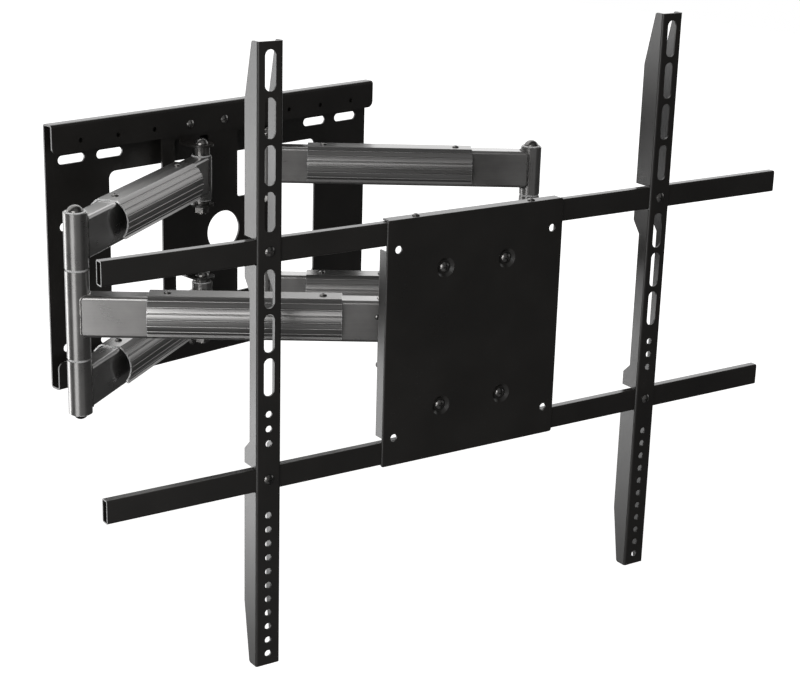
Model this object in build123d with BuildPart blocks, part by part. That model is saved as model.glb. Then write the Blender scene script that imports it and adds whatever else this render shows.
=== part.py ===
"""Swivel wall mount for a large flat television, all sizes in millimetres.

Frame: the origin is the centre of the wall plate's back face. +Z is up, +X is to the
right as seen from the room, and +Y points into the wall, so the television hangs at -Y.
Each arm is drawn along its own X axis from its first pivot, and each head piece is drawn
square to the head, with the swivel bolt as its Z axis. They are then stood in the frame.
"""
import os
from math import asin, cos, radians, sin

from build123d import *

os.makedirs("parts", exist_ok=True)

# wall plate, one folded sheet
WALL_W = 556.0
WALL_H = 352.0
WALL_SHEET = 2.5
LIP_DEPTH = 19.0
LIP_H = 38.0
LIP_CORNER_R = 9.0
WALL_BEND_R = 2.0
LIP_HOLE_D = 6.4
LIP_HOLE_PITCH = 58.5
LIP_HOLES = 9
LIP_HOLE_EDGE = 24.0
WINDOW_W = 360.0
WINDOW_H = 202.0
WINDOW_R = 10.0
SLOT_L = 41.0
SLOT_H = 11.5
SLOT_X = (178.6, 238.2)
SLOT_Z = 125.8
MID_SLOT_Z = 38.0

# pivot bracket behind the lips
BRACKET_W = 208.0
BRACKET_H = 330.0
BRACKET_T = 3.0
BRACKET_CORNER_R = 5.0
OPENING_W = 58.0
OPENING_H = 93.5
OPENING_R = 4.0
OPENING_X = 54.0
ROUND_HOLE_D = 56.0
TAB_R = 17.0
TAB_BEND_R = 3.5
SCREW_D = 6.0

# pivots
PIVOT_X = 57.0
PIVOT_OUT = 40.0
ARM_Z = -4.2
ARM_LENGTH = 366.0
LEFT_ANGLE = 28.3
RIGHT_ANGLE = 42.7
REAR_Z = 91.5
CLEVIS_LOW = 52.0
CLEVIS_HIGH = 130.5

# arm tubes, posts and bushes
TUBE_W = 27.0
TUBE_H = 51.0
TUBE_WALL = 2.5
TUBE_R = 4.5
POST_D = 28.5
POST_WALL = 4.0
WALL_POST_DOWN = 33.5
WALL_POST_UP = 25.5
ELBOW_POST_H = 66.5
MID_POST_H = 107.0
BUSH_FLANGE_T = 1.2
BUSH_L = 14.0
BUSH_RIM = 1.2
RUN_GAP = 0.3
PIN_FIT = 0.05
BOLT_FIT = 0.25
PIVOT_BOLT_D = 12.0
ELBOW_PIN_D = 16.0
DOME_D = 19.6
DOME_H = 7.5
NUT_DOME_D = 17.6
NUT_DOME_H = 7.0
NUT_AF = 19.0
NUT_H = 9.0
SPACER_D = 23.0

# arm covers, fluted extrusions open below
COVER_L = 226.0
COVER_FROM_ELBOW = 83.0
COVER_T = 2.0
COVER_TOP_HALF = 13.0
COVER_BELLY_HALF = 27.8
COVER_BELLY_DROP = 26.0
COVER_FOOT_HALF = 22.0
COVER_FOOT_DROP = 44.0
COVER_FLICK = 1.4
COVER_FLICK_DROP = 2.6
FLUTE_R = 1.1
FLUTE_SINK = 0.35
FLUTES = 6
COVER_SCREW_INSET = 22.0
COVER_SCREW_D = 5.0
COVER_SCREW_HEAD_D = 9.0
COVER_SCREW_HEAD_H = 2.6

# head bracket that the front arms carry
HEAD_BRACKET_T = 3.0
HEAD_BRACKET_MARGIN = 16.0
HEAD_WEB_OUT = 23.5
HEAD_FLANGE_R = 14.0

# swivel and tilt joint
SWIVEL_OUT = 46.0
HEAD_YAW = -11.1
HEAD_DROP = 3.0
FORK_T = 3.0
FORK_R = 14.0
FORK_W = 44.0
FORK_LIP = 12.0
KNUCKLE_R = 13.0
KNUCKLE_H = 54.0
SWIVEL_BOLT_D = 12.0
TILT_OUT = 23.5
TILT_TUBE_L = 52.0
TILT_BOLT_D = 12.0
TILT_WASHER_T = 1.0
EAR_T = 3.0
EAR_R = 13.0
TILT_BASE_W = 112.0
TILT_BASE_H = 204.0
TILT_BASE_T = 3.0

# centre plate
FACE_OUT = 45.5
HEAD_SHEET = 2.2
PLATE_W = 247.0
PLATE_H = 293.0
PLATE_FLANGE = 15.0
SIDE_FLANGE_H = 222.0
PLATE_CORNER_X = 108.0
PLATE_CORNER_Z = 112.0
PLATE_HOLE_D = 9.0
PLATE_BOLT_X = 43.3
PLATE_BOLT_Z = 83.3
PLATE_BOLT_D = 8.0
PLATE_BOLT_HEAD_D = 12.5
PLATE_BOLT_HEAD_H = 4.0
DISH_R = 13.0
DISH_DEPTH = 2.8
SET_SCREW_X = 81.0

# bars and rails
BAR_L = 932.0
BAR_H = 27.0
BAR_D = 12.0
BAR_WALL = 1.5
BAR_R = 2.5
BAR_GAP = 0.3
RAIL_X = 272.7
RAIL_W = 30.5
RAIL_TOP = 354.0
RAIL_BOTTOM = 358.5
RAIL_DEEP = 28.0
RAIL_SHALLOW = 16.5
RAIL_TOP_DEEP = 13.5
RAIL_BOTTOM_DEEP = 17.0
RAIL_BEND_R = 2.6
RAIL_TIP_R = 3.5
RAIL_SLOT_L = 43.6
RAIL_SLOT_W = 13.0
RAIL_SLOT_PITCH = 50.0
RAIL_SLOT_TOP_Z = 323.8
RAIL_SLOT_MID_Z = 89.2
RAIL_HOLE_D = 8.0
RAIL_HOLE_PITCH = 17.1
RAIL_HOLE_MID_Z = -53.7
RAIL_HOLE_LOW_Z = -173.5
RAIL_LOW_HOLES = 11
RAIL_SCREW_D = 6.0
RAIL_SCREW_HEAD_D = 12.0
RAIL_SCREW_HEAD_H = 3.6

# places that follow from the sizes above
LIP_FRONT_Y = -LIP_DEPTH
BRACKET_FRONT_Y = LIP_FRONT_Y + WALL_SHEET
LIP_HOLE_Z = WALL_H / 2 - LIP_HOLE_EDGE
TAB_T = BRACKET_T
LEFT_PIVOT = (-PIVOT_X, -PIVOT_OUT)
RIGHT_PIVOT = (PIVOT_X, -PIVOT_OUT)


def step(point, heading):
    """The plan point one arm length away from a plan point."""
    turn = radians(heading)
    return (point[0] + ARM_LENGTH * cos(turn), point[1] + ARM_LENGTH * sin(turn))


LEFT_REAR_HEADING = 180.0 + LEFT_ANGLE
LEFT_FRONT_HEADING = -RIGHT_ANGLE
RIGHT_REAR_HEADING = -RIGHT_ANGLE
RIGHT_FRONT_HEADING = 180.0 + LEFT_ANGLE
LEFT_ELBOW = step(LEFT_PIVOT, LEFT_REAR_HEADING)
RIGHT_ELBOW = step(RIGHT_PIVOT, RIGHT_REAR_HEADING)
LEFT_HEAD_PIVOT = step(LEFT_ELBOW, LEFT_FRONT_HEADING)
RIGHT_HEAD_PIVOT = step(RIGHT_ELBOW, RIGHT_FRONT_HEADING)
HEAD_X = (LEFT_HEAD_PIVOT[0] + RIGHT_HEAD_PIVOT[0]) / 2
HEAD_Y = LEFT_HEAD_PIVOT[1]
SWIVEL_Y = HEAD_Y - SWIVEL_OUT
HEAD_AT = Location((HEAD_X, SWIVEL_Y, ARM_Z - HEAD_DROP), (0, 0, HEAD_YAW))
HEAD_BRACKET_AT = Location((HEAD_X, HEAD_Y, ARM_Z))

COVER_START = ARM_LENGTH - COVER_FROM_ELBOW - COVER_L
COVER_SCREWS = (COVER_START + COVER_SCREW_INSET,
                COVER_START + COVER_L - COVER_SCREW_INSET)
POST_BORE_R = POST_D / 2 - POST_WALL
ELBOW_LOW = MID_POST_H / 2 + 2 * BUSH_FLANGE_T + RUN_GAP
ELBOW_HIGH = ELBOW_LOW + ELBOW_POST_H
FACE_Y = -FACE_OUT
BACK_OF_SHEET = FACE_Y + HEAD_SHEET
BAR_Y = BACK_OF_SHEET + BAR_D / 2
BAR_Z = PLATE_H / 2 - HEAD_SHEET - BAR_GAP - BAR_H / 2


def write(part, name, at=None):
    """Stands a finished piece in the frame, labels it and writes its file."""
    placed = part if at is None else part.moved(at)
    placed.label = name
    export_step(placed, f"parts/{name}.step")


def group(solids, name):
    """Writes like pieces, each already in its place, as one node of separate solids."""
    bundle = Compound(children=[s.solid() for s in solids])
    bundle.label = name
    export_step(bundle, f"parts/{name}.step")


def arm_at(pivot, heading, z):
    """Where an arm drawn along X stands: its pivot, its heading in plan, its height."""
    return Location((pivot[0], pivot[1], z), (0, 0, heading))


# wall plate
with BuildPart() as wall_plate:
    with BuildSketch(Plane.YZ.offset(-WALL_W / 2)):
        with Locations((-LIP_DEPTH / 2, 0)):
            RectangleRounded(LIP_DEPTH, WALL_H, WALL_BEND_R + WALL_SHEET)
            RectangleRounded(LIP_DEPTH - 2 * WALL_SHEET, WALL_H - 2 * WALL_SHEET,
                             WALL_BEND_R, mode=Mode.SUBTRACT)
        with Locations((LIP_FRONT_Y + WALL_SHEET / 2, 0)):
            Rectangle(2 * WALL_SHEET, WALL_H - 2 * LIP_H, mode=Mode.SUBTRACT)
    extrude(amount=WALL_W)
    lip_corners = [e for e in wall_plate.edges().filter_by(Axis.Y)
                   if e.center().Y < BRACKET_FRONT_Y
                   and abs(abs(e.center().Z) - (WALL_H / 2 - LIP_H)) < 0.01]
    fillet(lip_corners, LIP_CORNER_R)
    with BuildSketch(Plane.XZ):
        RectangleRounded(WINDOW_W, WINDOW_H, WINDOW_R)
        for slot_x in SLOT_X:
            with GridLocations(2 * slot_x, 2 * SLOT_Z, 2, 2):
                SlotOverall(SLOT_L, SLOT_H)
        with Locations((-SLOT_X[1], MID_SLOT_Z), (SLOT_X[1], MID_SLOT_Z)):
            SlotOverall(SLOT_L, SLOT_H)
    extrude(amount=WALL_SHEET, mode=Mode.SUBTRACT)
    with BuildSketch(Plane.XZ.offset(LIP_DEPTH)):
        with GridLocations(LIP_HOLE_PITCH, 2 * LIP_HOLE_Z, LIP_HOLES, 2):
            Circle(LIP_HOLE_D / 2)
    extrude(amount=-WALL_SHEET, mode=Mode.SUBTRACT)
write(wall_plate.part, "wall_plate")

# pivot bracket: a flat plate with four openings, whose metal is bent forward as tabs
TAB_HEIGHTS = [CLEVIS_LOW - TAB_T / 2, CLEVIS_HIGH + TAB_T / 2]
OPENING_Z = (CLEVIS_LOW + CLEVIS_HIGH) / 2
TAB_TIP_Y = -PIVOT_OUT - TAB_R
SCREW_PLACES = [(n * LIP_HOLE_PITCH, s * LIP_HOLE_Z) for n in (-1, 0, 1) for s in (1, -1)]

with BuildPart() as pivot_bracket:
    with BuildSketch(Plane.XZ.offset(-BRACKET_FRONT_Y)):
        RectangleRounded(BRACKET_W, BRACKET_H, BRACKET_CORNER_R)
        with Locations((0, ARM_Z)):
            Circle(ROUND_HOLE_D / 2, mode=Mode.SUBTRACT)
            with GridLocations(2 * OPENING_X, 2 * OPENING_Z, 2, 2):
                RectangleRounded(OPENING_W, OPENING_H, OPENING_R, mode=Mode.SUBTRACT)
        with Locations(*SCREW_PLACES):
            Circle(SCREW_D / 2, mode=Mode.SUBTRACT)
    extrude(amount=-BRACKET_T)
    for side in (1, -1):
        for level, high in ((TAB_HEIGHTS[0], False), (TAB_HEIGHTS[1], True)):
            up = 1 if high else -1
            reach = OPENING_Z + up * OPENING_H / 2 - level
            with BuildSketch(Plane.YZ.offset(-PIVOT_X - TAB_R)) as bend:
                with BuildLine():
                    z_in = ARM_Z + side * (level + up * TAB_T / 2)
                    z_out = ARM_Z + side * (level - up * TAB_T / 2)
                    z_top = ARM_Z + side * (level + reach + up * 0.5)
                    Polyline((TAB_TIP_Y, z_in), (BRACKET_FRONT_Y, z_in),
                             (BRACKET_FRONT_Y, z_top), (BRACKET_FRONT_Y + BRACKET_T, z_top),
                             (BRACKET_FRONT_Y + BRACKET_T, z_out), (TAB_TIP_Y, z_out),
                             close=True)
                make_face()
                outer = [v for v in bend.vertices()
                         if abs(v.Y - (BRACKET_FRONT_Y + BRACKET_T)) < 0.01
                         and abs(v.Z - z_out) < 0.01]
                fillet(outer, TAB_BEND_R)
            extrude(amount=2 * TAB_R)
            extrude(bend.sketch.moved(Location((2 * PIVOT_X, 0, 0))), amount=2 * TAB_R)
    tips = [e for e in pivot_bracket.edges().filter_by(Axis.Z)
            if abs(e.center().Y - TAB_TIP_Y) < 0.01]
    fillet(tips, TAB_R - 0.2)
    with BuildSketch(Plane.XY.offset(-BRACKET_H / 2)):
        with Locations(LEFT_PIVOT, RIGHT_PIVOT):
            Circle(PIVOT_BOLT_D / 2 + BOLT_FIT)
    extrude(amount=BRACKET_H, mode=Mode.SUBTRACT)
write(pivot_bracket.part, "pivot_bracket")


def dome(radius, height, z, up):
    """A domed head standing on the level z, crown up or down, on the part's Z axis."""
    end = z + up * height
    rise = height - 1.0
    ball = (radius ** 2 + rise ** 2) / (2 * rise)
    half = asin(min(1.0, radius / ball)) / 2
    middle = (ball * sin(half), end - up * ball * (1 - cos(half)))
    with BuildPart() as cap:
        with BuildSketch(Plane.XZ):
            with BuildLine():
                Line((0, z), (radius, z))
                Line((radius, z), (radius, z + up * 1.0))
                ThreePointArc((radius, z + up * 1.0), middle, (0, end))
                Line((0, end), (0, z))
            make_face()
        revolve(axis=Axis.Z)
    return cap.part


def bolt(diameter, head_d, head_h, z_top, z_end):
    """A round headed bolt along Z: the head stands on z_top, the shank ends at z_end."""
    with BuildPart() as body:
        add(dome(head_d / 2, head_h, z_top, 1))
        with BuildSketch(Plane.XY.offset(z_end)):
            Circle(diameter / 2)
        extrude(amount=z_top - z_end)
        chamfer(body.edges().group_by(Axis.Z)[0], 0.8)
        with BuildSketch(Plane.XY.offset(z_top + head_h)):
            RegularPolygon(radius=head_d * 0.24, side_count=6)
        extrude(amount=-head_h * 0.62, mode=Mode.SUBTRACT)
    return body.part


def nut(bore, z_seat, z_far):
    """A hexagon nut along Z between two levels."""
    low, high = min(z_seat, z_far), max(z_seat, z_far)
    with BuildPart() as body:
        with BuildSketch(Plane.XY.offset(low)):
            RegularPolygon(radius=NUT_AF / 2, side_count=6, major_radius=False)
            Circle(bore / 2, mode=Mode.SUBTRACT)
        extrude(amount=high - low)
        chamfer(body.edges().filter_by(GeomType.LINE).group_by(Axis.Z)[-1], 0.6)
    return body.part


def ring(outer, bore, z_low, z_high):
    """A plain washer or spacer along Z."""
    with BuildPart() as body:
        with BuildSketch(Plane.XY.offset(z_low)):
            Circle(outer / 2)
            Circle(bore / 2, mode=Mode.SUBTRACT)
        extrude(amount=z_high - z_low)
    return body.part


def bush(bore, z_face, inward, rim_d):
    """A flanged bush: its flange lies outside the post's end face z_face."""
    with BuildPart() as body:
        with BuildSketch(Plane.XZ):
            with BuildLine():
                Polyline((bore / 2, z_face - inward * BUSH_FLANGE_T),
                         (rim_d / 2, z_face - inward * BUSH_FLANGE_T),
                         (rim_d / 2, z_face), (POST_BORE_R, z_face),
                         (POST_BORE_R, z_face + inward * BUSH_L),
                         (bore / 2, z_face + inward * BUSH_L), close=True)
            make_face()
        revolve(axis=Axis.Z)
    return body.part


# wall pivots: bolts, nuts and spacers, all fixed to the bracket
bolts, nuts, spacers = [], [], []
for pivot in (LEFT_PIVOT, RIGHT_PIVOT):
    for side in (1, -1):
        top = CLEVIS_HIGH + TAB_T if side == 1 else -CLEVIS_LOW + TAB_T
        low = CLEVIS_LOW - TAB_T if side == 1 else -CLEVIS_HIGH - TAB_T
        at = Location((pivot[0], pivot[1], ARM_Z))
        bolts.append(bolt(PIVOT_BOLT_D, DOME_D, DOME_H, top, low - NUT_H - 3).moved(at))
        nuts.append(nut(PIVOT_BOLT_D, low, low - NUT_H).moved(at))
        post_low = REAR_Z - WALL_POST_DOWN - BUSH_FLANGE_T - RUN_GAP
        post_high = REAR_Z + WALL_POST_UP + BUSH_FLANGE_T + RUN_GAP
        for a, b in ((CLEVIS_LOW, post_low), (post_high, CLEVIS_HIGH)):
            z1, z2 = sorted((side * a, side * b))
            spacers.append(ring(SPACER_D, PIVOT_BOLT_D, z1, z2).moved(at))
group(bolts, "wall_pivot_bolts")
group(nuts, "wall_pivot_nuts")
group(spacers, "wall_pivot_spacers")


def pan_screw(shank_d, head_d, head_h, length):
    """A pan head screw along Z: the head's seat is the level 0, the shank goes down."""
    with BuildPart() as body:
        add(dome(head_d / 2, head_h, 0, 1))
        with BuildSketch(Plane.XY.offset(-length)):
            Circle(shank_d / 2)
        extrude(amount=length)
        with BuildSketch(Plane.XY.offset(head_h)):
            Rectangle(head_d * 0.5, head_d * 0.13)
            Rectangle(head_d * 0.13, head_d * 0.5)
        extrude(amount=-head_h * 0.5, mode=Mode.SUBTRACT)
    return body.part


# screws that hold the bracket to the lips, heads at the front
front_screw = pan_screw(SCREW_D, 2 * SCREW_D, 0.6 * SCREW_D, WALL_SHEET + BRACKET_T + 2)
group([front_screw.moved(Location((x, LIP_FRONT_Y, z), (90, 0, 0))) for x, z in SCREW_PLACES],
      "bracket_screws")


def arm(first_low, first_high, far_low, far_high):
    """The pieces welded into one arm: a rectangular tube, coped at its ends to sit against
    two upright posts. Levels are from the tube's own centre. The first post stands at
    X = 0, the far one at the arm's length."""
    with BuildPart() as tube:
        with BuildSketch(Plane.YZ):
            RectangleRounded(TUBE_W, TUBE_H, TUBE_R)
            RectangleRounded(TUBE_W - 2 * TUBE_WALL, TUBE_H - 2 * TUBE_WALL,
                             TUBE_R - TUBE_WALL, mode=Mode.SUBTRACT)
        extrude(amount=ARM_LENGTH)
        with BuildSketch(Plane.XY.offset(-TUBE_H / 2)):
            with Locations((0, 0), (ARM_LENGTH, 0)):
                Circle(POST_D / 2)
        extrude(amount=TUBE_H, mode=Mode.SUBTRACT)
        with BuildSketch(Plane.XY.offset(TUBE_H / 2)):
            with Locations(*[(x, 0) for x in COVER_SCREWS]):
                Circle(COVER_SCREW_D / 2)
        extrude(amount=-TUBE_WALL, mode=Mode.SUBTRACT)
    posts = [ring(POST_D, 2 * POST_BORE_R, low, high).moved(Location((x, 0, 0)))
             for x, low, high in ((0, first_low, first_high),
                                  (ARM_LENGTH, far_low, far_high))]
    return [tube.part, *posts]


def cover():
    """The fluted sleeve over an arm: flat top, bellied sides, open below."""
    top = TUBE_H / 2 + COVER_T
    with BuildPart() as body:
        with BuildSketch(Plane.YZ.offset(COVER_START)) as section:
            with BuildLine() as half:
                Line((0, top), (COVER_TOP_HALF, top))
                side_arc = ThreePointArc((COVER_TOP_HALF, top),
                                         (COVER_BELLY_HALF, top - COVER_BELLY_DROP),
                                         (COVER_FOOT_HALF, top - COVER_FOOT_DROP))
                foot = (COVER_FOOT_HALF + COVER_FLICK,
                        top - COVER_FOOT_DROP - COVER_FLICK_DROP)
                Line((COVER_FOOT_HALF, top - COVER_FOOT_DROP), foot)
                Line(foot, (foot[0] - COVER_T, foot[1]))
                inner_foot = (COVER_FOOT_HALF - COVER_T, top - COVER_FOOT_DROP + COVER_T / 2)
                Line((foot[0] - COVER_T, foot[1]), inner_foot)
                inner_top = (COVER_TOP_HALF - COVER_T / 2, top - COVER_T)
                ThreePointArc(inner_foot,
                              (COVER_BELLY_HALF - COVER_T, top - COVER_BELLY_DROP), inner_top)
                Line(inner_top, (0, top - COVER_T))
                Line((0, top - COVER_T), (0, top))
            make_face()
            mirror(about=Plane.YZ)
            for n in range(FLUTES):
                spot = side_arc @ ((n + 1.0) / (FLUTES + 0.6))
                out = side_arc % ((n + 1.0) / (FLUTES + 0.6))
                normal = Vector(-out.Y, out.X)
                for flip in (1, -1):
                    place = spot + normal * (FLUTE_R - FLUTE_SINK - 0.55)
                    with Locations((flip * place.X, place.Y)):
                        Circle(FLUTE_R, mode=Mode.SUBTRACT)
        extrude(amount=COVER_L)
        with BuildSketch(Plane.XY.offset(top)):
            with Locations(*[(x, 0) for x in COVER_SCREWS]):
                Circle(COVER_SCREW_D / 2)
        extrude(amount=-COVER_T, mode=Mode.SUBTRACT)
    return body.part


# rear arms, front arms, their covers, cover screws and bushes
cover_part = cover()
screw_part = pan_screw(COVER_SCREW_D, COVER_SCREW_HEAD_D, COVER_SCREW_HEAD_H,
                       COVER_T + TUBE_WALL)
COVER_TOP = TUBE_H / 2 + COVER_T
WALL_BORE = PIVOT_BOLT_D + 2 * PIN_FIT
ELBOW_BORE = ELBOW_PIN_D + 2 * PIN_FIT
INNER_RIM = POST_D - 2 * BUSH_RIM
OUTER_RIM = POST_D - 3 * BUSH_RIM
upper_rear = arm(-WALL_POST_DOWN, WALL_POST_UP, ELBOW_LOW - REAR_Z, ELBOW_HIGH - REAR_Z)
lower_rear = arm(-WALL_POST_UP, WALL_POST_DOWN, REAR_Z - ELBOW_HIGH, REAR_Z - ELBOW_LOW)
front = arm(-MID_POST_H / 2, MID_POST_H / 2, -MID_POST_H / 2, MID_POST_H / 2)


def screws_on(at):
    """The two screws of one cover."""
    return [screw_part.moved(at * Location((x, 0, COVER_TOP))) for x in COVER_SCREWS]


for hand, pivot, heading, elbow, head_pivot, front_heading in (
        ("left", LEFT_PIVOT, LEFT_REAR_HEADING, LEFT_ELBOW,
         LEFT_HEAD_PIVOT, LEFT_FRONT_HEADING + 180.0),
        ("right", RIGHT_PIVOT, RIGHT_REAR_HEADING, RIGHT_ELBOW,
         RIGHT_HEAD_PIVOT, RIGHT_FRONT_HEADING + 180.0)):
    upper_at = arm_at(pivot, heading, ARM_Z + REAR_Z)
    lower_at = arm_at(pivot, heading, ARM_Z - REAR_Z)
    front_at = arm_at(head_pivot, front_heading, ARM_Z)
    wall_axis = Location((pivot[0], pivot[1], ARM_Z))
    elbow_axis = Location((elbow[0], elbow[1], ARM_Z))
    head_axis = Location((head_pivot[0], head_pivot[1], ARM_Z))
    for pieces, at, place in ((upper_rear, upper_at, "upper_rear"),
                              (lower_rear, lower_at, "lower_rear"),
                              (front, front_at, "front")):
        group([piece.moved(at) for piece in pieces], f"{hand}_{place}_arm")
    write(cover_part, f"{hand}_upper_rear_cover", upper_at)
    write(cover_part, f"{hand}_lower_rear_cover", lower_at)
    write(cover_part, f"{hand}_front_cover", front_at)
    group(screws_on(upper_at) + screws_on(lower_at), f"{hand}_rear_cover_screws")
    group(screws_on(front_at), f"{hand}_front_cover_screws")

    rear_bushes = []
    for side in (1, -1):
        for z, inward in ((REAR_Z - WALL_POST_DOWN, 1), (REAR_Z + WALL_POST_UP, -1)):
            rear_bushes.append(bush(WALL_BORE, side * z, side * inward, INNER_RIM)
                               .moved(wall_axis))
        for z, inward, rim in ((ELBOW_LOW, 1, INNER_RIM), (ELBOW_HIGH, -1, OUTER_RIM)):
            rear_bushes.append(bush(ELBOW_BORE, side * z, side * inward, rim)
                               .moved(elbow_axis))
    group(rear_bushes, f"{hand}_rear_bushes")
    front_bushes = []
    for side in (1, -1):
        z = side * MID_POST_H / 2
        front_bushes.append(bush(ELBOW_BORE, z, -side, INNER_RIM).moved(elbow_axis))
        front_bushes.append(bush(WALL_BORE, z, -side, INNER_RIM).moved(head_axis))
    group(front_bushes, f"{hand}_front_bushes")

    pin_end = ELBOW_HIGH + BUSH_FLANGE_T
    with BuildPart() as elbow_pin:
        add(dome(DOME_D / 2, DOME_H, pin_end, 1))
        with BuildSketch(Plane.XY.offset(-pin_end)):
            Circle(ELBOW_PIN_D / 2)
        extrude(amount=2 * pin_end)
    write(elbow_pin.part, f"{hand}_elbow_pin", elbow_axis)
    write(dome(NUT_DOME_D / 2, NUT_DOME_H, -pin_end, -1), f"{hand}_elbow_cap", elbow_axis)

# head bracket: one folded sheet that spans both front arms, flanges towards the wall
HEAD_FLANGE_Z = MID_POST_H / 2 + BUSH_FLANGE_T + RUN_GAP
HEAD_BRACKET_W = 2 * (PIVOT_X + HEAD_BRACKET_MARGIN)
HEAD_WEB_Y = -HEAD_WEB_OUT
with BuildPart() as head_bracket:
    with BuildSketch(Plane.YZ.offset(-HEAD_BRACKET_W / 2)):
        with BuildLine():
            y_tip = HEAD_FLANGE_R
            z_out = HEAD_FLANGE_Z + HEAD_BRACKET_T
            y_out = HEAD_WEB_Y - HEAD_BRACKET_T
            FilletPolyline((y_tip, z_out), (y_out, z_out), (y_out, -z_out), (y_tip, -z_out),
                           radius=TAB_BEND_R + HEAD_BRACKET_T)
            Line((y_tip, -z_out), (y_tip, -HEAD_FLANGE_Z))
            FilletPolyline((y_tip, -HEAD_FLANGE_Z), (HEAD_WEB_Y, -HEAD_FLANGE_Z),
                           (HEAD_WEB_Y, HEAD_FLANGE_Z), (y_tip, HEAD_FLANGE_Z),
                           radius=TAB_BEND_R)
            Line((y_tip, HEAD_FLANGE_Z), (y_tip, z_out))
        make_face()
    extrude(amount=HEAD_BRACKET_W)
    flange_tips = [e for e in head_bracket.edges().filter_by(Axis.Z)
                   if abs(e.center().Y - HEAD_FLANGE_R) < 0.01]
    fillet(flange_tips, HEAD_FLANGE_R - 1)
    with BuildSketch(Plane.XY.offset(-z_out)):
        with Locations((-PIVOT_X, 0), (PIVOT_X, 0)):
            Circle(PIVOT_BOLT_D / 2 + BOLT_FIT)
        with Locations((0, HEAD_FLANGE_R)):
            RectangleRounded(2 * (PIVOT_X - HEAD_BRACKET_MARGIN - POST_D / 2),
                             2 * HEAD_FLANGE_R, HEAD_FLANGE_R - 3)
    extrude(amount=2 * z_out, mode=Mode.SUBTRACT)
write(head_bracket.part, "head_bracket", HEAD_BRACKET_AT)

head_bolts = [bolt(PIVOT_BOLT_D, DOME_D, DOME_H, z_out, -z_out - NUT_H - 2)
              .moved(HEAD_BRACKET_AT * Location((x, 0, 0))) for x in (-PIVOT_X, PIVOT_X)]
head_nuts = [nut(PIVOT_BOLT_D, -z_out, -z_out - NUT_H)
             .moved(HEAD_BRACKET_AT * Location((x, 0, 0))) for x in (-PIVOT_X, PIVOT_X)]
group(head_bolts, "head_pivot_bolts")
group(head_nuts, "head_pivot_nuts")

# swivel fork: a small folded sheet on the head bracket's front, with two lugs
FORK_BASE_Y = SWIVEL_OUT - HEAD_WEB_OUT - HEAD_BRACKET_T
LUG_Z = KNUCKLE_H / 2 + RUN_GAP
LUG_OUT_Z = LUG_Z + FORK_T
FORK_AT = Location((HEAD_X, SWIVEL_Y, ARM_Z - HEAD_DROP))
with BuildPart() as swivel_fork:
    with BuildSketch(Plane.XY.offset(-LUG_OUT_Z - FORK_LIP)):
        with Locations((0, FORK_BASE_Y - FORK_T / 2)):
            Rectangle(FORK_W, FORK_T)
    extrude(amount=2 * (LUG_OUT_Z + FORK_LIP))
    fillet(swivel_fork.edges().filter_by(Axis.Y), 4.0)
    for z in (LUG_Z, -LUG_OUT_Z):
        with BuildSketch(Plane.XY.offset(z)):
            Circle(FORK_R)
            with Locations((0, (FORK_BASE_Y - FORK_T) / 2)):
                Rectangle(2 * FORK_R, FORK_BASE_Y - FORK_T)
        extrude(amount=FORK_T)
    with BuildSketch(Plane.XY.offset(-LUG_OUT_Z)):
        Circle(SWIVEL_BOLT_D / 2 + BOLT_FIT)
    extrude(amount=2 * LUG_OUT_Z, mode=Mode.SUBTRACT)
write(swivel_fork.part, "swivel_fork", FORK_AT)
write(bolt(SWIVEL_BOLT_D, DOME_D, DOME_H, LUG_OUT_Z, -LUG_OUT_Z - NUT_H - 2),
      "swivel_bolt", FORK_AT)
write(nut(SWIVEL_BOLT_D, -LUG_OUT_Z, -LUG_OUT_Z - NUT_H), "swivel_nut", FORK_AT)

# yoke: an upright knuckle on the swivel bolt and a level tube for the tilt bolt
TILT_Y = -TILT_OUT
TILT_PLANE = Plane(origin=(-TILT_TUBE_L / 2, TILT_Y, 0), x_dir=(0, 1, 0), z_dir=(1, 0, 0))
with BuildPart() as swivel_yoke:
    with BuildSketch(Plane.XY.offset(-KNUCKLE_H / 2)):
        Circle(KNUCKLE_R)
    extrude(amount=KNUCKLE_H)
    with BuildSketch(TILT_PLANE):
        Circle(KNUCKLE_R)
    extrude(amount=TILT_TUBE_L)
    with BuildSketch(Plane.XY.offset(-KNUCKLE_R)):
        with Locations((0, TILT_Y / 2)):
            Rectangle(1.5 * KNUCKLE_R, TILT_OUT)
    extrude(amount=2 * KNUCKLE_R)
    with BuildSketch(Plane.XY.offset(-KNUCKLE_H / 2)):
        Circle(SWIVEL_BOLT_D / 2 + PIN_FIT)
    extrude(amount=KNUCKLE_H, mode=Mode.SUBTRACT)
    with BuildSketch(TILT_PLANE):
        Circle(TILT_BOLT_D / 2 + BOLT_FIT)
    extrude(amount=TILT_TUBE_L, mode=Mode.SUBTRACT)
write(swivel_yoke.part, "swivel_yoke", HEAD_AT)

# tilt bolt with its nut and friction washers, turned with the yoke
EAR_IN = TILT_TUBE_L / 2 + TILT_WASHER_T + RUN_GAP
EAR_OUT = EAR_IN + EAR_T
TILT_AT = HEAD_AT * Location((0, TILT_Y, 0), (0, 90, 0))
SEAT = EAR_OUT + RUN_GAP
write(bolt(TILT_BOLT_D, DOME_D, DOME_H, SEAT, -SEAT - NUT_H - 2), "tilt_bolt", TILT_AT)
write(nut(TILT_BOLT_D, -SEAT, -SEAT - NUT_H), "tilt_nut", TILT_AT)
half_tube = TILT_TUBE_L / 2
group([ring(2 * KNUCKLE_R, TILT_BOLT_D + 2 * BOLT_FIT, z, z + TILT_WASHER_T).moved(TILT_AT)
       for z in (half_tube, -half_tube - TILT_WASHER_T)], "tilt_washers")

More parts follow.
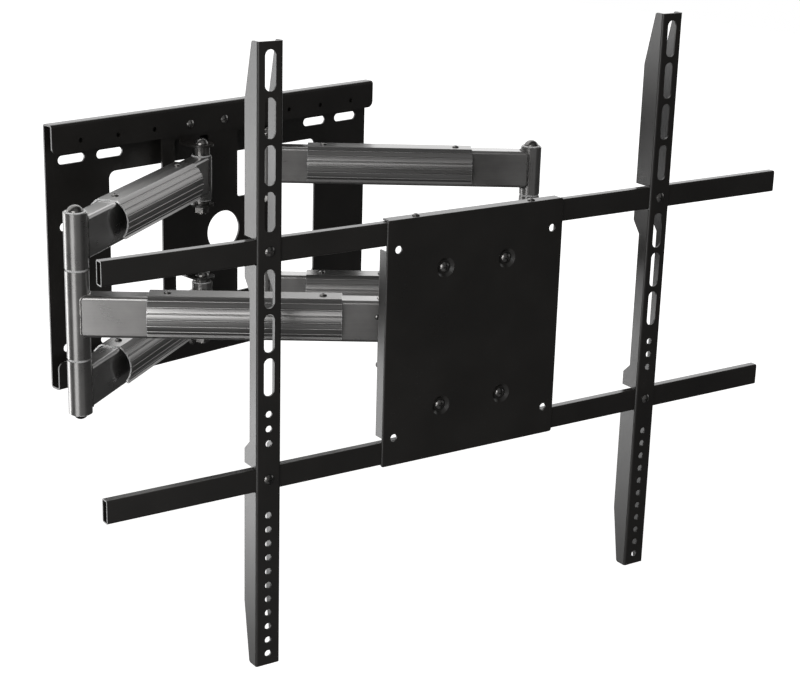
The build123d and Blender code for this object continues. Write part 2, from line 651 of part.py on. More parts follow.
# tilt bracket: base behind the centre plate, two ears that hold the tilt bolt
TILT_BASE_Y = FACE_Y + HEAD_SHEET + DISH_DEPTH
BASE_BACK_Y = TILT_BASE_Y + TILT_BASE_T
with BuildPart() as tilt_bracket:
    with BuildSketch(Plane.XZ.offset(-TILT_BASE_Y)):
        RectangleRounded(TILT_BASE_W, TILT_BASE_H, 8)
        with GridLocations(2 * PLATE_BOLT_X, 2 * PLATE_BOLT_Z, 2, 2):
            Circle(PLATE_BOLT_D / 2 + BOLT_FIT, mode=Mode.SUBTRACT)
    extrude(amount=-TILT_BASE_T)
    for x in (EAR_IN, -EAR_OUT):
        with BuildSketch(Plane.YZ.offset(x)):
            with Locations((TILT_Y, 0)):
                Circle(EAR_R)
            with Locations(((BASE_BACK_Y + TILT_Y) / 2 - 0.5, 0)):
                Rectangle(TILT_Y - BASE_BACK_Y + 1, 2 * EAR_R)
            with BuildLine():
                Polyline((BASE_BACK_Y - 1, -2 * EAR_R), (BASE_BACK_Y, -2 * EAR_R),
                         (TILT_Y, -EAR_R), (TILT_Y, EAR_R), (BASE_BACK_Y, 2 * EAR_R),
                         (BASE_BACK_Y - 1, 2 * EAR_R), close=True)
            make_face()
            with Locations((TILT_Y, 0)):
                Circle(TILT_BOLT_D / 2 + PIN_FIT, mode=Mode.SUBTRACT)
        extrude(amount=EAR_T)
write(tilt_bracket.part, "tilt_bracket", HEAD_AT)

# centre plate: face, dished bolt seats, four flanges folded back
with BuildPart() as centre_plate:
    with BuildSketch(Plane.XZ.offset(FACE_OUT)):
        RectangleRounded(PLATE_W, PLATE_H, 3)
    extrude(amount=-HEAD_SHEET)
    depth = PLATE_FLANGE - HEAD_SHEET
    with BuildSketch(Plane.XZ.offset(FACE_OUT - HEAD_SHEET)):
        with GridLocations(0, PLATE_H - HEAD_SHEET, 1, 2):
            Rectangle(PLATE_W - 6, HEAD_SHEET)
        with GridLocations(PLATE_W - HEAD_SHEET, 0, 2, 1):
            Rectangle(HEAD_SHEET, SIDE_FLANGE_H)
    extrude(amount=-depth)
    front_rim = [e for e in centre_plate.edges().filter_by(GeomType.LINE)
                 if abs(e.center().Y - FACE_Y) < 0.01]
    fillet(front_rim, HEAD_SHEET * 0.8)
    with BuildSketch(Plane.XZ.offset(FACE_OUT)):
        with GridLocations(2 * PLATE_CORNER_X, 2 * PLATE_CORNER_Z, 2, 2):
            Circle(PLATE_HOLE_D / 2)
        with GridLocations(2 * PLATE_BOLT_X, 2 * PLATE_BOLT_Z, 2, 2):
            Circle(DISH_R - HEAD_SHEET / 2)
    extrude(amount=-HEAD_SHEET, mode=Mode.SUBTRACT)
    for x in (-PLATE_BOLT_X, PLATE_BOLT_X):
        for z in (-PLATE_BOLT_Z, PLATE_BOLT_Z):
            axis = Plane(origin=(x, FACE_Y, z), x_dir=(1, 0, 0), z_dir=(0, 0, 1))
            with BuildSketch(axis):
                with BuildLine():
                    inner = DISH_R * 0.62
                    Polyline((PLATE_BOLT_D / 2 + BOLT_FIT, DISH_DEPTH), (inner, DISH_DEPTH),
                             (DISH_R - HEAD_SHEET / 2, 0), (DISH_R, 0), (DISH_R, HEAD_SHEET),
                             (inner + HEAD_SHEET / 2, HEAD_SHEET + DISH_DEPTH),
                             (PLATE_BOLT_D / 2 + BOLT_FIT, HEAD_SHEET + DISH_DEPTH),
                             close=True)
                make_face()
            revolve(axis=Axis((x, FACE_Y, z), (0, 1, 0)))
    with BuildSketch(Plane.XY.offset(-PLATE_H / 2)):
        with Locations((-SET_SCREW_X, BAR_Y), (SET_SCREW_X, BAR_Y)):
            Circle(COVER_SCREW_D / 2)
    extrude(amount=PLATE_H, mode=Mode.SUBTRACT)
write(centre_plate.part, "centre_plate", HEAD_AT)


def back_screw(x, z, y_seat, shank_d, head_d, head_h, length):
    """A screw put in from the front: its head's seat is the level y_seat."""
    return pan_screw(shank_d, head_d, head_h, length).moved(
        HEAD_AT * Location((x, y_seat, z), (90, 0, 0)))


plate_places = [(x, z) for x in (-PLATE_BOLT_X, PLATE_BOLT_X)
                for z in (-PLATE_BOLT_Z, PLATE_BOLT_Z)]
DISH_Y = FACE_Y + DISH_DEPTH
plate_bolt_l = HEAD_SHEET + TILT_BASE_T + 8.0
group([back_screw(x, z, DISH_Y, PLATE_BOLT_D, PLATE_BOLT_HEAD_D, PLATE_BOLT_HEAD_H,
                  plate_bolt_l) for x, z in plate_places], "plate_bolts")
group([nut(PLATE_BOLT_D, 0, -6.0).moved(
    HEAD_AT * Location((x, BASE_BACK_Y, z), (90, 0, 0))) for x, z in plate_places],
    "plate_nuts")

# bars: open rectangular tubes, one above and one below the arms
RAIL_SCREW_PLACES = [(x, z) for x in (-RAIL_X, RAIL_X) for z in (-BAR_Z, BAR_Z)]


def bar():
    with BuildPart() as body:
        with BuildSketch(Plane.YZ.offset(-BAR_L / 2)):
            RectangleRounded(BAR_D, BAR_H, BAR_R)
            RectangleRounded(BAR_D - 2 * BAR_WALL, BAR_H - 2 * BAR_WALL, BAR_R - BAR_WALL,
                             mode=Mode.SUBTRACT)
        extrude(amount=BAR_L)
        with BuildSketch(Plane.XZ.offset(-BAR_D)):
            with Locations((-RAIL_X, 0), (RAIL_X, 0)):
                Circle(RAIL_SCREW_D / 2)
        extrude(amount=2 * BAR_D, mode=Mode.SUBTRACT)
        with BuildSketch(Plane.XY.offset(-BAR_H)):
            with Locations((-SET_SCREW_X, 0), (SET_SCREW_X, 0)):
                Circle(COVER_SCREW_D / 2)
        extrude(amount=2 * BAR_H, mode=Mode.SUBTRACT)
    return body.part


bar_part = bar()
write(bar_part, "upper_bar", HEAD_AT * Location((0, BAR_Y, BAR_Z)))
write(bar_part, "lower_bar", HEAD_AT * Location((0, BAR_Y, -BAR_Z)))
set_screw = pan_screw(COVER_SCREW_D, COVER_SCREW_HEAD_D, COVER_SCREW_HEAD_H,
                      HEAD_SHEET + BAR_GAP + BAR_WALL + 2)
group([set_screw.moved(HEAD_AT * Location((x, BAR_Y, z), (turn, 0, 0)))
       for x in (-SET_SCREW_X, SET_SCREW_X)
       for z, turn in ((PLATE_H / 2, 0), (-PLATE_H / 2, 180))], "bar_set_screws")

# rails: slotted channels hooked over both bars
NOTCH_H = BAR_H + 1.0
with BuildPart() as rail:
    with BuildSketch(Plane.XY.offset(-RAIL_BOTTOM)) as channel:
        with Locations((0, FACE_Y + RAIL_DEEP / 2)):
            Rectangle(RAIL_W, RAIL_DEEP)
            fillet([v for v in channel.vertices() if abs(v.Y - FACE_Y) < 0.01], RAIL_BEND_R)
        inner_d = RAIL_DEEP - HEAD_SHEET
        with Locations((0, BACK_OF_SHEET + inner_d / 2)):
            Rectangle(RAIL_W - 2 * HEAD_SHEET, inner_d, mode=Mode.SUBTRACT)
    extrude(amount=RAIL_TOP + RAIL_BOTTOM)
    with BuildSketch(Plane.YZ.offset(-RAIL_W)):
        with BuildLine():
            far = FACE_Y + RAIL_DEEP + 1
            deep, mid = FACE_Y + RAIL_DEEP, FACE_Y + RAIL_SHALLOW
            Polyline((far, RAIL_TOP + 1), (FACE_Y + RAIL_TOP_DEEP, RAIL_TOP + 1),
                     (FACE_Y + RAIL_TOP_DEEP, RAIL_TOP), (deep, RAIL_TOP - 63.0),
                     (deep, 98.0), (mid, 83.0), (mid, -88.0), (deep, -99.0),
                     (deep, 73.0 - RAIL_BOTTOM), (FACE_Y + RAIL_BOTTOM_DEEP, 4 - RAIL_BOTTOM),
                     (FACE_Y + RAIL_BOTTOM_DEEP, -RAIL_BOTTOM - 1), (far, -RAIL_BOTTOM - 1),
                     close=True)
        make_face()
    extrude(amount=2 * RAIL_W, mode=Mode.SUBTRACT)
    flange_tips = [e for e in rail.edges().filter_by(Axis.X) for y, z in
                   ((RAIL_TOP_DEEP, RAIL_TOP), (RAIL_BOTTOM_DEEP, -RAIL_BOTTOM))
                   if abs(e.center().Y - FACE_Y - y) < 0.01 and abs(e.center().Z - z) < 0.01]
    fillet(flange_tips, RAIL_TIP_R)
    with BuildSketch(Plane.YZ.offset(-RAIL_W)):
        with GridLocations(0, 2 * BAR_Z, 1, 2):
            with Locations((BACK_OF_SHEET + RAIL_DEEP / 2, 0)):
                Rectangle(RAIL_DEEP, NOTCH_H)
    extrude(amount=2 * RAIL_W, mode=Mode.SUBTRACT)
    with BuildSketch(Plane.XZ.offset(FACE_OUT)):
        for first, count in ((RAIL_SLOT_TOP_Z, 4), (RAIL_SLOT_MID_Z, 3)):
            with Locations(*[(0, first - n * RAIL_SLOT_PITCH) for n in range(count)]):
                SlotOverall(RAIL_SLOT_L, RAIL_SLOT_W, rotation=90)
        for first, count in ((RAIL_HOLE_MID_Z, 3), (RAIL_HOLE_LOW_Z, RAIL_LOW_HOLES)):
            with Locations(*[(0, first - n * RAIL_HOLE_PITCH) for n in range(count)]):
                Circle(RAIL_HOLE_D / 2)
        with GridLocations(0, 2 * BAR_Z, 1, 2):
            Circle(RAIL_SCREW_D / 2)
    extrude(amount=-HEAD_SHEET, mode=Mode.SUBTRACT)
write(rail.part, "left_rail", HEAD_AT * Location((-RAIL_X, 0, 0)))
write(rail.part, "right_rail", HEAD_AT * Location((RAIL_X, 0, 0)))
rail_screw_l = HEAD_SHEET + BAR_D + 6.0
group([back_screw(x, z, FACE_Y, RAIL_SCREW_D, RAIL_SCREW_HEAD_D, RAIL_SCREW_HEAD_H,
                  rail_screw_l) for x, z in RAIL_SCREW_PLACES], "rail_screws")
group([ring(14.0, RAIL_SCREW_D, -4.0, 0).moved(
    HEAD_AT * Location((x, BACK_OF_SHEET + BAR_D, z), (90, 0, 0)))
       for x, z in RAIL_SCREW_PLACES], "rail_nuts")
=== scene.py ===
"""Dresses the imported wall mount: finishes, rounded edges, weld beads, studio and camera."""
from math import cos, radians, sin, sqrt

import bmesh
import bpy
from mathutils import Matrix, Vector


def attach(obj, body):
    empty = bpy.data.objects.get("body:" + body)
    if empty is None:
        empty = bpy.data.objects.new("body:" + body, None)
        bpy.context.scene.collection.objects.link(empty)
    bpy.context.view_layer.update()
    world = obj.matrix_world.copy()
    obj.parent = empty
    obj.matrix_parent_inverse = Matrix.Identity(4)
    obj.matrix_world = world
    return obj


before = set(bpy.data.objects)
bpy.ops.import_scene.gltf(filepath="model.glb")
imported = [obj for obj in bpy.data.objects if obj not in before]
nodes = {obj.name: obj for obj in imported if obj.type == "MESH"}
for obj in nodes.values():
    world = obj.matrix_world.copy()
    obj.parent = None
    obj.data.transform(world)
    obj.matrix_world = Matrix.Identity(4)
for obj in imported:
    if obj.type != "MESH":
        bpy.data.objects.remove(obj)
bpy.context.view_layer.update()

# the linkage at rest in metres and degrees, as in the part's source
ARM_Z = -0.0042
FRONT_LEVEL, REAR_LEVEL = 0.0, 0.0915
POST_R = 0.01425
TUBE_W, TUBE_H, TUBE_R = 0.027, 0.051, 0.0045
ARM_LENGTH = 0.366
COVER_START, COVER_L = 0.057, 0.226
LEFT_PIVOT, RIGHT_PIVOT = (-0.057, -0.040), (0.057, -0.040)
LEFT_REAR, RIGHT_REAR = 208.3, -42.7

# a cover's sawn end: where bare metal begins and where it is full, inside the end face
SAWN_FROM, SAWN_FULL = 0.0002, 0.00005

# loose triangles join within this distance, and faces this nearly in line become one
JOIN_WITHIN, LEVEL_WITHIN = 0.000005, radians(0.5)
# edges above these angles are rounded, and stay sharp in the shading
ROUND_ABOVE, SHARP_ABOVE = radians(50), radians(32)
ROUND_SEGMENTS = 2
ARM_ROUND, COVER_ROUND, FASTENER_ROUND = 0.0004, 0.0, 0.0002
SHEET_ROUNDS = {
    "wall_plate": 0.0007, "pivot_bracket": 0.0006, "head_bracket": 0.0006,
    "tilt_bracket": 0.0006, "swivel_fork": 0.0006, "swivel_yoke": 0.0006,
    "centre_plate": 0.0008, "left_rail": 0.0008, "right_rail": 0.0008,
    "upper_bar": 0.0006, "lower_bar": 0.0006,
}

# weld beads: radius, stand-off from the post, the bead's own roundness, and the steps along the
# tube's upright and level sides
BEAD_R, BEAD_OFF, BEAD_ROUNDNESS = 0.0014, 0.0003, 2
UPRIGHT_STEPS, LEVEL_STEPS = 42, 26

# the rivet: radius, height as a share of it, distance from the head pivot, and its rise
RIVET_R, RIVET_FLATNESS = 0.0032, 0.55
RIVET_REACH, RIVET_RISE = 0.0155, 0.0065

# brightness that mirror rays find: the room all round, the white sweep's foot and top, the
# share of the sweep far to the left, the front on the left, and the glow high on the right
ROOM, SWEEP_FOOT, SWEEP_TOP = 0.08, 0.92, 2.22
SWEEP_LEFT_SHARE, FRONT_LEFT, RIGHT_GLOW = 0.25, 0.26, 1.4
# the world's light on the object
SOFT_FILL = 0.30

# the floor: its level, half its width, how far its middle lies behind the mount, its own light
# under the mount, and the brightness that mirror rays find on its far left
FLOOR_Z, FLOOR_REACH, FLOOR_BACK = -1.6, 12.0, 11.0
FLOOR_NEAR, FLOOR_LEFT = 0.55, 0.22

# each lamp: place, aim, size, power in watts, and whether mirror rays see it
LAMPS = {
    "left_box": ((-2.66, -1.48, 0.84), (-0.2, -0.3, 0.1), (1.95, 1.65), 64, True),
    "left_card": ((-2.64, -1.19, -0.84), (-0.2, -0.3, 0.0), (1.5, 0.9), 13, True),
    "back_box": ((-1.35, 1.7, -0.4), (-0.1, -0.4, 0.0), (1.0, 1.8), 26, True),
    "top_box": ((-0.2, -0.2, 2.6), (0.0, -0.3, 0.0), (2.6, 2.0), 45, False),
}

# the photograph's view: place and clip distances in metres, angles in degrees, focal length and
# image width in pixels, sensor width in millimetres
CAMERA_PLACE = (-1.5458, -1.9199, 0.6307)
AZIMUTH, ELEVATION, ROLL = -44.905, 18.075, 1.618
FOCAL, IMAGE_WIDTH = 1816.2, 800.0
SENSOR = 36.0
CLIP_NEAR, CLIP_FAR = 0.05, 60.0


def along(point, heading, distance=ARM_LENGTH):
    """The place at a distance from a point of the plan, by default an arm away."""
    turn = radians(heading)
    return (point[0] + distance * cos(turn), point[1] + distance * sin(turn))


LEFT_ELBOW = along(LEFT_PIVOT, LEFT_REAR)
RIGHT_ELBOW = along(RIGHT_PIVOT, RIGHT_REAR)
LEFT_HEAD = along(LEFT_ELBOW, RIGHT_REAR)
RIGHT_HEAD = along(RIGHT_ELBOW, LEFT_REAR)
# each arm: its body, the pivot that it starts from, its heading, and its level above ARM_Z
ARMS = {
    "left_upper_rear": ("left_rear", LEFT_PIVOT, LEFT_REAR, REAR_LEVEL),
    "left_lower_rear": ("left_rear", LEFT_PIVOT, LEFT_REAR, -REAR_LEVEL),
    "left_front": ("left_front", LEFT_HEAD, RIGHT_REAR + 180.0, FRONT_LEVEL),
    "right_upper_rear": ("right_rear", RIGHT_PIVOT, RIGHT_REAR, REAR_LEVEL),
    "right_lower_rear": ("right_rear", RIGHT_PIVOT, RIGHT_REAR, -REAR_LEVEL),
    "right_front": ("right_front", RIGHT_HEAD, LEFT_REAR + 180.0, FRONT_LEVEL),
}


def add_object(name, data):
    """A new object in the scene, at the origin."""
    made = bpy.data.objects.new(name, data)
    bpy.context.scene.collection.objects.link(made)
    return made


def mesh_of(form, name):
    """Turns a finished bmesh into a mesh."""
    mesh = bpy.data.meshes.new(name)
    form.to_mesh(mesh)
    form.free()
    return mesh


class Wire:
    """A value in a material's maths: a socket whose operators add their own nodes."""

    def __init__(self, finish, socket):
        self.finish, self.socket = finish, socket

    def math(self, operation, *others):
        return self.finish.node("ShaderNodeMath", {"operation": operation},
                                dict(enumerate((self, *others))))

    def __add__(self, other):
        return self.math("ADD", other)

    def __sub__(self, other):
        return self.math("SUBTRACT", other)

    def __mul__(self, other):
        return self.math("MULTIPLY", other)

    def __rsub__(self, other):
        return self.finish.node("ShaderNodeMath", {"operation": "SUBTRACT"},
                                {0: other, 1: self})

    __radd__ = __add__
    __rmul__ = __mul__

    def at_least(self, other):
        return self.math("MAXIMUM", other)

    def swing(self, amount):
        """What a noise adds or takes, about its middle value of a half."""
        return (self - 0.5) * amount

    def between(self, low, high):
        """low where this value is 0, high where it is 1."""
        return self * (high - low) + low

    def band(self, low, high):
        """0 below low, 1 above high, a smooth step between."""
        return self.finish.node("ShaderNodeMapRange", {"interpolation_type": "SMOOTHSTEP"},
                                {"Value": self, "From Min": low, "From Max": high})


class Finish:
    """The nodes of one procedural material, or of the world."""

    def __init__(self, name, world=None):
        self.owner = world or bpy.data.materials.new(name)
        self.owner.use_nodes = True
        self.tree = self.owner.node_tree
        self.tree.nodes.clear()

    def node(self, kind, settings=None, inputs=None, output=0):
        """Any node: its settings come first, then the values or wires of its sockets."""
        made = self.tree.nodes.new(kind)
        for key, value in (settings or {}).items():
            setattr(made, key, value)
        for key, value in (inputs or {}).items():
            if isinstance(value, Wire):
                self.tree.links.new(value.socket, made.inputs[key])
            else:
                made.inputs[key].default_value = value
        return Wire(self, made.outputs[output]) if made.outputs else made

    def place(self, scale=(1, 1, 1), turn=0.0):
        """Object coordinates, turned about Z by an angle in degrees, then stretched."""
        here = self.node("ShaderNodeTexCoord", output="Object")
        level = self.node("ShaderNodeMapping", {}, {"Vector": here,
                                                    "Rotation": (0, 0, radians(-turn))})
        return self.node("ShaderNodeMapping", {}, {"Vector": level, "Scale": scale})

    def part(self, vector, letter):
        """One number of a vector: its X, Y or Z."""
        return self.node("ShaderNodeSeparateXYZ", {}, {"Vector": vector}, output=letter)

    def noise(self, at, scale, detail, roughness=0.5):
        return self.node("ShaderNodeTexNoise", {}, {"Vector": at, "Scale": scale,
                                                    "Detail": detail,
                                                    "Roughness": roughness})

    def blend(self, factor, first, second):
        """A colour between two colours."""
        return self.node("ShaderNodeMix", {"data_type": "RGBA"},
                         {"Factor": factor, 6: first, 7: second}, output=2)

    def bump(self, height, distance, strength):
        return self.node("ShaderNodeBump", {}, {"Height": height, "Distance": distance,
                                                "Strength": strength})

    def glow(self, strength):
        """White light of its own."""
        return self.node("ShaderNodeEmission", {}, {"Color": (1, 1, 1, 1),
                                                    "Strength": strength})

    def mixed(self, factor, first, second):
        """One shader where the factor is 0, the other where it is 1."""
        return self.node("ShaderNodeMixShader", {}, {0: factor, 1: first, 2: second})

    def surface(self, **values):
        """The shader itself: each value is a number, a colour or a wire."""
        shader = self.node("ShaderNodeBsdfPrincipled", {},
                           {key.replace("_", " ").title().replace("Ior", "IOR"): value
                            for key, value in values.items()})
        self.node("ShaderNodeOutputMaterial", {}, {"Surface": shader})
        return self.owner


def grey(value, warm=0.0):
    """A grey, made warmer by a share of its value."""
    return (value * (1 + warm), value, value * (1 - warm), 1.0)


def powder_coat(name, tone, roughness):
    """Black powder coat: fine orange peel, faint cloudiness, a little dust."""
    coat = Finish(name)
    at = coat.place()
    peel = coat.noise(at, scale=900.0, detail=2.0)
    cloud = coat.noise(at, scale=14.0, detail=4.0)
    dust = peel.band(0.70, 0.78) * cloud.band(0.50, 0.62)
    colour = coat.blend(cloud.band(0.3, 0.7), grey(tone, 0.10), grey(tone * 1.35, 0.10))
    colour = coat.blend(dust, colour, grey(tone * 14.0, 0.05))
    return coat.surface(
        base_color=colour,
        roughness=roughness + cloud.swing(0.10) + peel.swing(0.10),
        metallic=0.0,
        specular_ior_level=0.50,
        normal=coat.bump(peel, distance=0.00006, strength=0.35))


def tube_paint(name, heading):
    """Gunmetal metallic paint: streaked along the tube, soft mottling, clear top coat."""
    paint = Finish(name)
    streak = paint.noise(paint.place((1.5, 60.0, 60.0), heading), scale=9.0, detail=4.0,
                         roughness=0.6)
    mottle = paint.noise(paint.place(turn=heading), scale=34.0, detail=4.0, roughness=0.55)
    tone = streak.swing(0.5) + mottle.swing(1.1) + 0.5
    return paint.surface(
        base_color=paint.blend(tone, grey(0.12, 0.02), grey(0.19, 0.02)),
        roughness=0.29 + mottle.swing(0.10) + streak.swing(0.06),
        metallic=0.85,
        coat_weight=0.50,
        coat_roughness=0.12,
        normal=paint.bump(mottle, distance=0.00003, strength=0.06))


def drawn_metal(name, pivot, heading):
    """Extruded cover: straight draw lines, broader bands, bare metal at the sawn ends."""
    metal = Finish(name)
    line = metal.noise(metal.place((0.02, 60.0, 60.0), heading), scale=7.0, detail=1.0)
    band = metal.noise(metal.place((0.02, 26.0, 26.0), heading), scale=5.0, detail=1.0)
    tone = line.swing(0.6) + band.swing(0.5) + 0.5
    colour = metal.blend(tone, grey(0.13, 0.015), grey(0.26, 0.015))
    middle = (pivot[0] * cos(radians(heading)) + pivot[1] * sin(radians(heading))
              + COVER_START + COVER_L / 2)
    from_middle = (metal.part(metal.place(turn=heading), "X") - middle).math("ABSOLUTE")
    sawn = from_middle.band(COVER_L / 2 - SAWN_FROM, COVER_L / 2 - SAWN_FULL)
    return metal.surface(
        base_color=metal.blend(sawn, colour, grey(0.8)),
        roughness=0.29 + line.swing(0.10),
        metallic=0.95)


def plated_steel(name, dark, light, roughness):
    """Plated or oxidised steel: fine grain and small stains."""
    steel = Finish(name)
    stain = steel.noise(steel.place(), scale=160.0, detail=4.0)
    grain = steel.noise(steel.place((1, 1, 3)), scale=1500.0, detail=2.0)
    return steel.surface(
        base_color=steel.blend(stain.band(0.3, 0.7), grey(dark, 0.02), grey(light, 0.03)),
        roughness=roughness + stain.swing(0.20) + grain.swing(0.10),
        metallic=0.95,
        normal=steel.bump(grain, distance=0.00003, strength=0.30))


def moulded_nylon(name, tone):
    """Moulded bush plastic: matt, with a faint speckle."""
    nylon = Finish(name)
    speck = nylon.noise(nylon.place(), scale=1200.0, detail=2.0)
    return nylon.surface(
        base_color=nylon.blend(speck, grey(tone), grey(tone * 1.5)),
        roughness=0.55 + speck.swing(0.15),
        metallic=0.0,
        normal=nylon.bump(speck, distance=0.00003, strength=0.30))


plate_black = powder_coat("powder_coat_black", tone=0.0062, roughness=0.31)
bolt_black = plated_steel("bolt_black_oxide", dark=0.07, light=0.14, roughness=0.24)
screw_black = plated_steel("screw_black_oxide", dark=0.07, light=0.14, roughness=0.18)
bolt_zinc = plated_steel("bolt_bright_zinc", dark=0.09, light=0.20, roughness=0.20)
bush_nylon = moulded_nylon("bush_nylon", tone=0.36)
# the weld beads are one metal in two copies: a lighter, glossier copy for the front arms as
# painted light, and a darker, duller copy for the rear arms as painted shade
weld_painted_lit = plated_steel("weld_bead_painted_lit", dark=0.20, light=0.36, roughness=0.26)
weld_painted_shade = plated_steel("weld_bead_painted_shade", dark=0.05, light=0.09, roughness=0.42)

# the first of these words that a node's name holds gives its finish, the rest is powder coated,
# and each arm and cover then gets a finish that runs along it
FINISHES = {
    "bushes": bush_nylon, "washers": bush_nylon,
    "wall_pivot": bolt_zinc, "_nut": bolt_zinc, "bracket_screws": bolt_zinc,
    "screws": screw_black,
    "bolt": bolt_black, "_pin": bolt_black, "_cap": bolt_black,
}
for name, node in nodes.items():
    finish = next((FINISHES[word] for word in FINISHES if word in name), plate_black)
    node.data.materials[0] = finish
for arm, (body, pivot, heading, level) in ARMS.items():
    nodes[f"{arm}_arm"].data.materials[0] = tube_paint(f"tube_paint_{arm}", heading)
    nodes[f"{arm}_cover"].data.materials[0] = drawn_metal(f"cover_metal_{arm}", pivot, heading)


def shade_by_angle():
    """A modifier group that shades smooth, and keeps the edges above SHARP_ABOVE sharp."""
    group = bpy.data.node_groups.new("shade_by_angle", "GeometryNodeTree")
    for way in ("INPUT", "OUTPUT"):
        group.interface.new_socket("Geometry", in_out=way, socket_type="NodeSocketGeometry")
    start, end = group.nodes.new("NodeGroupInput"), group.nodes.new("NodeGroupOutput")
    faces = group.nodes.new("GeometryNodeSetShadeSmooth")
    edges = group.nodes.new("GeometryNodeSetShadeSmooth")
    faces.domain, edges.domain = "FACE", "EDGE"
    edges.inputs["Shade Smooth"].default_value = False
    angle = group.nodes.new("GeometryNodeInputMeshEdgeAngle")
    sharp = group.nodes.new("FunctionNodeCompare")
    sharp.operation = "GREATER_THAN"
    sharp.inputs[1].default_value = SHARP_ABOVE
    link = group.links.new
    link(start.outputs[0], faces.inputs[0])
    link(faces.outputs[0], edges.inputs[0])
    link(angle.outputs["Unsigned Angle"], sharp.inputs[0])
    link(sharp.outputs[0], edges.inputs["Selection"])
    link(edges.outputs[0], end.inputs[0])
    return group


SHADING = shade_by_angle()


def round_edges(node, width):
    """Joins a node's loose triangles and rounds its edges; width 0 leaves them as sawn."""
    join = node.modifiers.new("join", "WELD")
    join.merge_threshold = JOIN_WITHIN
    flat = node.modifiers.new("flat", "DECIMATE")
    flat.decimate_type, flat.angle_limit = "DISSOLVE", LEVEL_WITHIN
    if width:
        bevel = node.modifiers.new("round", "BEVEL")
        bevel.width, bevel.segments = width, ROUND_SEGMENTS
        bevel.limit_method, bevel.angle_limit = "ANGLE", ROUND_ABOVE
        bevel.use_clamp_overlap = True
    shade = node.modifiers.new("shade", "NODES")
    shade.node_group = SHADING
    level = node.modifiers.new("level", "WEIGHTED_NORMAL")
    level.keep_sharp = True


for name, node in nodes.items():
    if name.endswith("_arm"):
        round_edges(node, ARM_ROUND)
    elif name.endswith("_cover"):
        round_edges(node, COVER_ROUND)
    else:
        round_edges(node, SHEET_ROUNDS.get(name, FASTENER_ROUND))


def tube_outline(flush):
    """The tube's outline as runs of points, across and up. Where the tube ends flush with its
    post's ends, only its upright sides are welded, and each is a run of its own."""
    half_w, rise = TUBE_W / 2, TUBE_H / 2 - TUBE_R
    runs = []
    for side in (1, -1):
        run = [(side * half_w, rise * (2 * n / UPRIGHT_STEPS - 1) * side)
               for n in range(UPRIGHT_STEPS + 1)]
        if not flush:
            for n in range(1, LEVEL_STEPS):
                y = half_w * (1 - 2 * n / LEVEL_STEPS) * side
                into_corner = max(0.0, abs(y) - (half_w - TUBE_R))
                z = rise + sqrt(max(0.0, TUBE_R ** 2 - into_corner ** 2))
                run.append((y, z * side))
        runs.append(run)
    return runs if flush else [runs[0] + runs[1]]


def ripple(n, level):
    """A bead's thickness at its nth point, as a share: short ripples and a slower drift."""
    return 0.86 + 0.22 * abs(sin(n * 1.9)) + 0.08 * sin(n * 0.7 + level)


def bead_mesh(name, centre, outward, level, flush):
    """A rippled bead round the tube's outline, laid on the round face of the post."""
    curve = bpy.data.curves.new(name, "CURVE")
    curve.dimensions = "3D"
    curve.bevel_depth, curve.bevel_resolution = BEAD_R, BEAD_ROUNDNESS
    curve.use_fill_caps = True
    turn = radians(outward)
    for run in tube_outline(flush):
        spline = curve.splines.new("POLY")
        spline.points.add(len(run) - 1)
        spline.use_cyclic_u = not flush
        for n, (y, z) in enumerate(run):
            x = sqrt(max(0.0, POST_R ** 2 - min(abs(y), POST_R) ** 2)) + BEAD_OFF
            spot = spline.points[n]
            spot.co = (centre[0] + x * cos(turn) - y * sin(turn),
                       centre[1] + x * sin(turn) + y * cos(turn),
                       ARM_Z + level + z, 1.0)
            spot.radius = ripple(n, level)
    holder = add_object(name, curve)
    bpy.context.view_layer.update()
    mesh = bpy.data.meshes.new_from_object(holder)
    bpy.data.objects.remove(holder)
    mesh.materials.clear()
    mesh.shade_smooth()
    return mesh


def weld_beads(arm, body, pivot, heading, level):
    """The beads where an arm's tube meets its two posts."""
    for end, centre, outward in (("first", pivot, heading),
                                 ("far", along(pivot, heading), heading + 180.0)):
        flush = level != FRONT_LEVEL and end == "first"
        mesh = bead_mesh(f"{arm}_{end}_bead", centre, outward, level, flush)
        # the front arms' beads take the painted-light copy, the rear arms' beads the
        # painted-shade copy
        mesh.materials.append(weld_painted_lit if level == FRONT_LEVEL else weld_painted_shade)
        bead = add_object(f"{arm}_{end}_weld", mesh)
        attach(bead, body)


for arm, (body, pivot, heading, level) in ARMS.items():
    weld_beads(arm, body, pivot, heading, level)


def tube_rivet():
    """The small dome-headed rivet on the left front arm's outer face, near the head."""
    centre = along(LEFT_HEAD, RIGHT_REAR + 180.0, RIVET_REACH)
    facing = Vector((sin(radians(RIGHT_REAR)), -cos(radians(RIGHT_REAR)), 0.0))
    form = bmesh.new()
    bmesh.ops.create_uvsphere(form, u_segments=24, v_segments=12, radius=RIVET_R)
    flat = Matrix.Diagonal((1.0, 1.0, RIVET_FLATNESS)).to_4x4()
    turn = facing.to_track_quat("Z", "Y").to_matrix().to_4x4()
    seat = Matrix.Translation((centre[0] + facing.x * TUBE_W / 2,
                               centre[1] + facing.y * TUBE_W / 2, ARM_Z + RIVET_RISE))
    bmesh.ops.transform(form, verts=form.verts, matrix=seat @ turn @ flat)
    mesh = mesh_of(form, "left_front_tube_rivet")
    mesh.shade_smooth()
    mesh.materials.append(bolt_zinc)
    rivet = add_object(mesh.name, mesh)
    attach(rivet, "left_front")


tube_rivet()


def seen_rays(look):
    """Two masks: 1 for camera rays, and 1 for the mirror rays, glossy or transmitted."""
    camera, glossy, through = [look.node("ShaderNodeLightPath", output=f"Is {kind} Ray")
                               for kind in ("Camera", "Glossy", "Transmission")]
    return camera, glossy.at_least(through)


